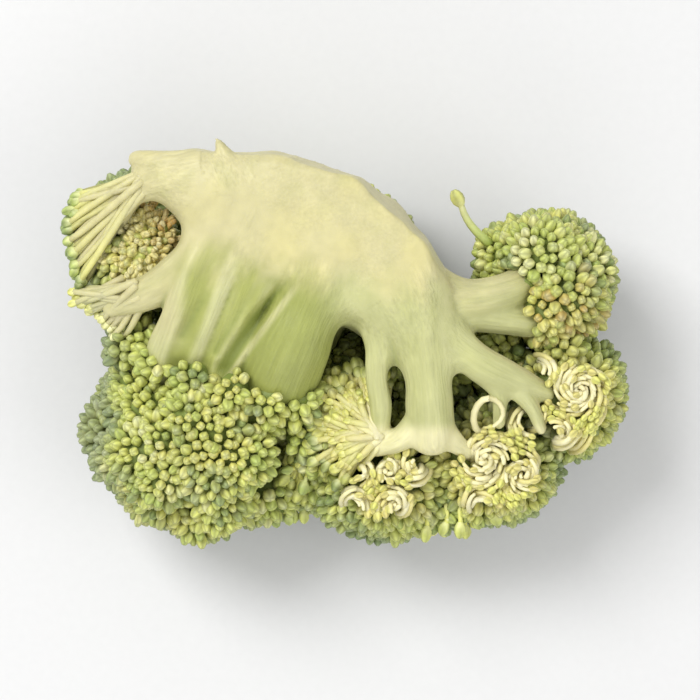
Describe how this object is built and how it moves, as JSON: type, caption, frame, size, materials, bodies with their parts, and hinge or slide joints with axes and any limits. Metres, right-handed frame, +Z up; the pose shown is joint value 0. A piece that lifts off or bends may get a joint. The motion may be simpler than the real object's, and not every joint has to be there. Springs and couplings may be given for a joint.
{
  "type": "broccoli floret",
  "caption": "Broccoli floret lying crown down: a cut pale green stalk whose branches fan out into lobed clusters of small green buds, some sliced by the knife.",
  "frame": {"origin": "under the middle of the floret's bounding box, on the surface that it lies on", "axes": "+X along the crown's longest side, +Y towards the cut end of the stalk, +Z up, away from the buds that it lies on"},
  "size_m": [0.0686, 0.0482, 0.0347],
  "materials": {
    "stalk_flesh": "raw broccoli stem: cream cut flesh turning to waxy pale green skin",
    "buds": "tight flower buds, yellow-green towards the stems and blue-green outside"
  },
  "bodies": {
    "root": {"stalk": "stalk_flesh", "bud_cluster_front_left": "buds", "bud_cluster_left": "buds", "bud_cluster_middle": "buds", "bud_cluster_front": "buds", "bud_cluster_front_right": "buds", "bud_cluster_right": "buds", "bud_cluster_back_right": "buds", "bud_cluster_back": "buds", "bud_cluster_back_left": "buds", "bud_cluster_base_left": "buds", "bud_cluster_base_right": "buds"}
  },
  "joints": []
}
